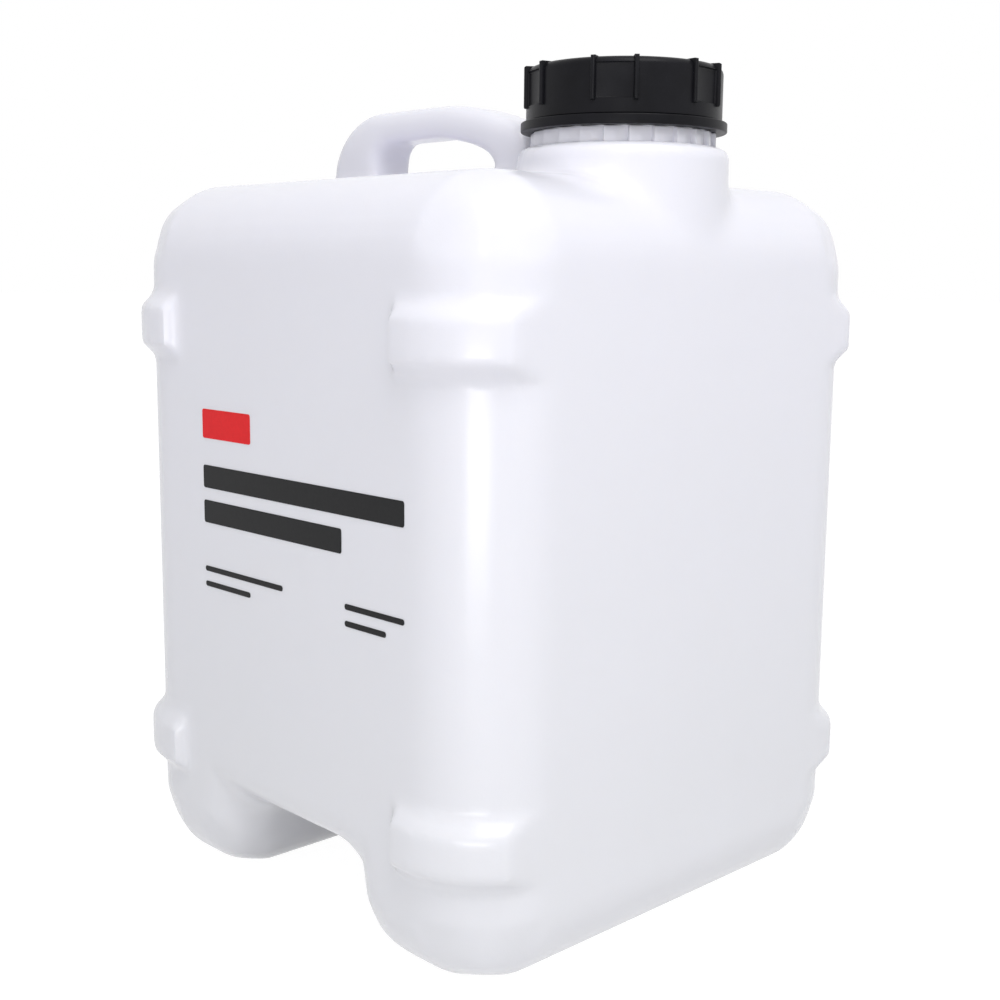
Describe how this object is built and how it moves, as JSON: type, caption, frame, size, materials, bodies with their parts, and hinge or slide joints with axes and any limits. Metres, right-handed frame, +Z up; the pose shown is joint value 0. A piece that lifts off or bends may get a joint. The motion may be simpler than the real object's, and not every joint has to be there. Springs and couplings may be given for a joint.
{
  "type": "hand soap refill pack",
  "caption": "Stackable blown plastic can of liquid hand soap with an integral carrying handle, corner pads, a tunnel between its feet and a ribbed screw cap on a wide neck.",
  "frame": {"origin": "centre of the bounding box at the bottom of the feet", "axes": "+Z up, +X along the front face towards the neck end, +Y from the front face to the back"},
  "size_m": [0.267, 0.2802, 0.3966],
  "materials": {
    "natural_plastic": "satin translucent white",
    "liquid_soap": "pearly liquid",
    "black_band_plastic": "satin",
    "black_cap_plastic": "satin",
    "liner_foam": "soft matte"
  },
  "bodies": {
    "bottle": {"bottle": "natural_plastic", "soap": "liquid_soap", "tamper_band": "black_band_plastic"},
    "liner": {"cap_liner": "liner_foam"},
    "cap": {"cap": "black_cap_plastic"}
  },
  "joints": [
    {"name": "cap_lift", "type": "slide", "parent": "bottle", "child": "liner", "axis": [0, 0, 1], "range_m": [0, 0.0121]},
    {"name": "cap_turn", "type": "hinge", "parent": "liner", "child": "cap", "pos_m": [0.084, 0, 0.373], "axis": [0, 0, 1], "range_deg": [0, 720]}
  ],
  "couplings": [
    {"joint": "cap_lift", "follows": "cap_turn", "m_per_rad": 0.00095493}
  ]
}
